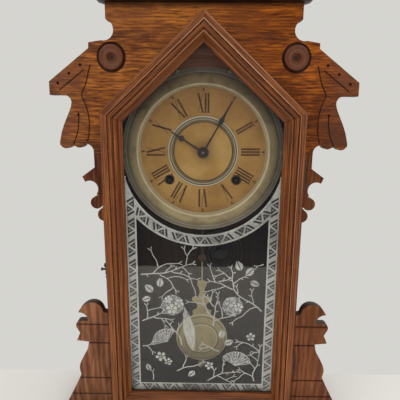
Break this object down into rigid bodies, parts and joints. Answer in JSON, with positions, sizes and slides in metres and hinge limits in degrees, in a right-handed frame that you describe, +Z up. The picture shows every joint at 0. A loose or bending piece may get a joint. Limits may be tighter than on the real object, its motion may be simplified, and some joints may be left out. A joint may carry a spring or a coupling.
{
  "type": "gingerbread clock",
  "caption": "Wooden shelf clock with sawn ears and scrolls, gabled glass door, round dial with hands, geared movement, pendulum, gong and hammer.",
  "frame": {"origin": "middle of the base's footprint, on the surface it stands on", "axes": "+Z up, +Y from the dial to the back, +X to the right seen from the front"},
  "size_m": [0.36, 0.13, 0.587],
  "materials": {
    "oak": "aged open-grained oak under worn varnish",
    "oak_moulding": "darker red-brown varnished oak",
    "pine": "plain aged pine, unvarnished",
    "brass": "rolled brass, slightly tarnished",
    "nickel": "yellowed plated bezel",
    "zinc": "dull zinc sheet",
    "blued_steel": "blued steel",
    "steel": "dark plain steel",
    "iron": "black iron",
    "paper": "aged printed paper",
    "glass": "old window glass",
    "putty": "dried putty"
  },
  "bodies": {
    "case": {"base_board": "oak", "base_moulding_front": "oak", "base_mouldings_side": "oak", "base_cleat": "pine", "side_board_left": "oak", "side_board_right": "oak", "back_board": "pine", "roof_board": "oak", "front_board": "oak", "front_stile_left": "oak", "front_stile_right": "oak", "front_rail": "oak", "rosettes": "oak_moulding", "base_scroll_left": "oak", "base_scroll_right": "oak", "cornice": "oak_moulding", "crest": "oak", "hinge_case_leaves": "brass", "latch_screw": "steel", "dial_blocks": "oak_moulding", "dial_pan": "zinc", "dial_paper": "paper", "dial_bezel": "nickel", "dial_center_ring": "brass", "winding_grommets": "brass", "front_plate": "brass", "back_plate": "brass", "plate_pillars": "steel", "mainsprings": "steel", "gong": "iron"},
    "door": {"door_stile_left": "oak_moulding", "door_stile_right": "oak_moulding", "door_gable_left": "oak_moulding", "door_gable_right": "oak_moulding", "door_bottom_rail": "oak_moulding", "door_glass": "glass", "glass_putty": "putty", "hinge_door_leaves": "brass", "latch_stud": "brass"},
    "latch": {"latch_hook": "steel"},
    "minute": {"minute_hand": "blued_steel", "center_arbor": "steel"},
    "hour": {"hour_hand": "blued_steel", "hour_wheel": "brass"},
    "motion": {"minute_wheel": "brass"},
    "time_great": {"time_great_wheel": "brass"},
    "time_second": {"time_second_wheel": "brass"},
    "center": {"center_wheel": "brass"},
    "third": {"third_wheel": "brass"},
    "escape": {"escape_wheel": "brass"},
    "winding_time": {"winding_arbor_time": "steel"},
    "winding_strike": {"winding_arbor_strike": "steel"},
    "verge": {"verge": "steel"},
    "pendulum": {"pendulum_rod": "brass", "pendulum_bob": "brass"},
    "strike_great": {"strike_great_wheel": "brass"},
    "strike_second": {"strike_second_wheel": "brass"},
    "strike_third": {"strike_third_wheel": "brass"},
    "fly": {"fly": "brass"},
    "hammer": {"hammer": "iron"}
  },
  "joints": [
    {"name": "door_hinge", "type": "hinge", "parent": "case", "child": "door", "pos_m": [0.1118, -0.0434, 0.2], "axis": [0, 0, 1], "range_deg": [0, 105]},
    {"name": "latch_pivot", "type": "hinge", "parent": "case", "child": "latch", "pos_m": [-0.1148, -0.036, 0.22], "axis": [-1, 0, 0], "range_deg": [0, 90]},
    {"name": "minute_hand_turn", "type": "hinge", "parent": "case", "child": "minute", "pos_m": [0, -0.017, 0.353], "axis": [0, 1, 0], "continuous": true},
    {"name": "hour_hand_turn", "type": "hinge", "parent": "case", "child": "hour", "pos_m": [0, -0.014, 0.353], "axis": [0, 1, 0], "continuous": true},
    {"name": "minute_wheel_turn", "type": "hinge", "parent": "case", "child": "motion", "pos_m": [-0.015, 0.012, 0.353], "axis": [0, 1, 0], "continuous": true},
    {"name": "escape_wheel_turn", "type": "hinge", "parent": "case", "child": "escape", "pos_m": [0.00601, 0.009, 0.39015], "axis": [0, 1, 0], "continuous": true},
    {"name": "third_wheel_turn", "type": "hinge", "parent": "case", "child": "third", "pos_m": [-0.00361, 0.029, 0.37348], "axis": [0, 1, 0], "continuous": true},
    {"name": "center_wheel_turn", "type": "hinge", "parent": "case", "child": "center", "pos_m": [0, 0.029, 0.353], "axis": [0, 1, 0], "continuous": true},
    {"name": "time_second_wheel_turn", "type": "hinge", "parent": "case", "child": "time_second", "pos_m": [0.01947, 0.029, 0.34365], "axis": [0, 1, 0], "continuous": true},
    {"name": "time_great_wheel_turn", "type": "hinge", "parent": "case", "child": "time_great", "pos_m": [0.0405, 0.029, 0.319], "axis": [0, 1, 0], "continuous": true},
    {"name": "time_winding", "type": "hinge", "parent": "case", "child": "winding_time", "pos_m": [0.0405, 0.029, 0.319], "axis": [0, 1, 0], "continuous": true},
    {"name": "strike_winding", "type": "hinge", "parent": "case", "child": "winding_strike", "pos_m": [-0.0405, 0.029, 0.319], "axis": [0, 1, 0], "continuous": true},
    {"name": "pendulum_swing", "type": "hinge", "parent": "case", "child": "pendulum", "pos_m": [0, 0.0035, 0.405], "axis": [0, 1, 0], "range_deg": [-3.5, 3.5]},
    {"name": "verge_rock", "type": "hinge", "parent": "case", "child": "verge", "pos_m": [0, 0.009, 0.405], "axis": [0, 1, 0], "range_deg": [-3.5, 3.5]},
    {"name": "fly_turn", "type": "hinge", "parent": "case", "child": "fly", "pos_m": [-0.03068, 0.029, 0.37963], "axis": [0, 1, 0], "continuous": true},
    {"name": "strike_third_wheel_turn", "type": "hinge", "parent": "case", "child": "strike_third", "pos_m": [-0.02475, 0.029, 0.36335], "axis": [0, 1, 0], "continuous": true},
    {"name": "strike_second_wheel_turn", "type": "hinge", "parent": "case", "child": "strike_second", "pos_m": [-0.01947, 0.029, 0.34365], "axis": [0, 1, 0], "continuous": true},
    {"name": "strike_great_wheel_turn", "type": "hinge", "parent": "case", "child": "strike_great", "pos_m": [-0.0405, 0.029, 0.319], "axis": [0, 1, 0], "continuous": true},
    {"name": "hammer_lift", "type": "hinge", "parent": "case", "child": "hammer", "pos_m": [-0.014, 0.046, 0.291], "axis": [0, 1, 0], "range_deg": [0, 12]}
  ],
  "couplings": [
    {"joint": "hour_hand_turn", "follows": "minute_hand_turn", "ratio": 0.083333},
    {"joint": "minute_wheel_turn", "follows": "minute_hand_turn", "ratio": -0.33333},
    {"joint": "third_wheel_turn", "follows": "escape_wheel_turn", "ratio": -0.1},
    {"joint": "center_wheel_turn", "follows": "escape_wheel_turn", "ratio": 0.011111},
    {"joint": "time_second_wheel_turn", "follows": "escape_wheel_turn", "ratio": -0.0037037},
    {"joint": "time_great_wheel_turn", "follows": "escape_wheel_turn", "ratio": 0.00046296},
    {"joint": "verge_rock", "follows": "pendulum_swing", "ratio": 1},
    {"joint": "strike_third_wheel_turn", "follows": "fly_turn", "ratio": -0.125},
    {"joint": "strike_second_wheel_turn", "follows": "fly_turn", "ratio": 0.016667},
    {"joint": "strike_great_wheel_turn", "follows": "fly_turn", "ratio": -0.0020833}
  ]
}
